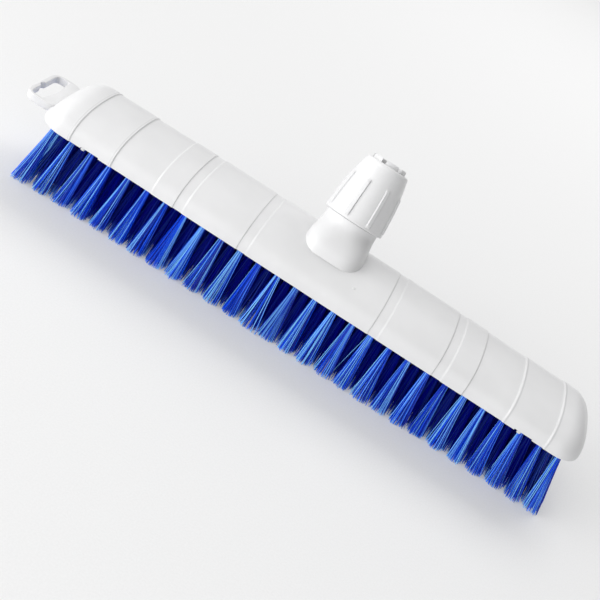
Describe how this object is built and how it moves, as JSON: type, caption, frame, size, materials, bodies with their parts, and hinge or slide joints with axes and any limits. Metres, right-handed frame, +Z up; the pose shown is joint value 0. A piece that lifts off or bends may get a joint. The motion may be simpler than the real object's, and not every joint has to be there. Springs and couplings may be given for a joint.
{
  "type": "deck scrub brush head",
  "caption": "Arched plastic scrub brush head with flared bristle tufts, a hanging loop and a slanted handle socket closed by a ribbed locking collar.",
  "frame": {"origin": "bottom centre of the bounding box, at the level of the bristle tips", "axes": "+X along the head away from the hanging loop, +Y the side that the handle socket leans to, +Z up from the bristle tips"},
  "size_m": [0.4204, 0.0812, 0.1271],
  "materials": {
    "cover_plastic": "glossy white",
    "socket_plastic": "glossy white",
    "collar_plastic": "satin white",
    "block_plastic": "matt white",
    "bristle_blue": "blue filament"
  },
  "bodies": {
    "head": {"cover_shell": "cover_plastic", "handle_socket": "socket_plastic", "tuft_block": "block_plastic", "tuft_row_1": "bristle_blue", "tuft_row_2": "bristle_blue", "tuft_row_3": "bristle_blue", "tuft_row_4": "bristle_blue", "tuft_row_5": "bristle_blue", "tuft_row_6": "bristle_blue", "tuft_row_7": "bristle_blue", "tuft_row_8": "bristle_blue", "tuft_row_9": "bristle_blue"},
    "collar": {"locking_collar": "collar_plastic"}
  },
  "joints": [
    {"name": "collar_turn", "type": "hinge", "parent": "head", "child": "collar", "pos_m": [0.00855, 0.00987, 0.08106], "axis": [0, 0.4067, 0.9135], "range_deg": [0, 360]}
  ]
}
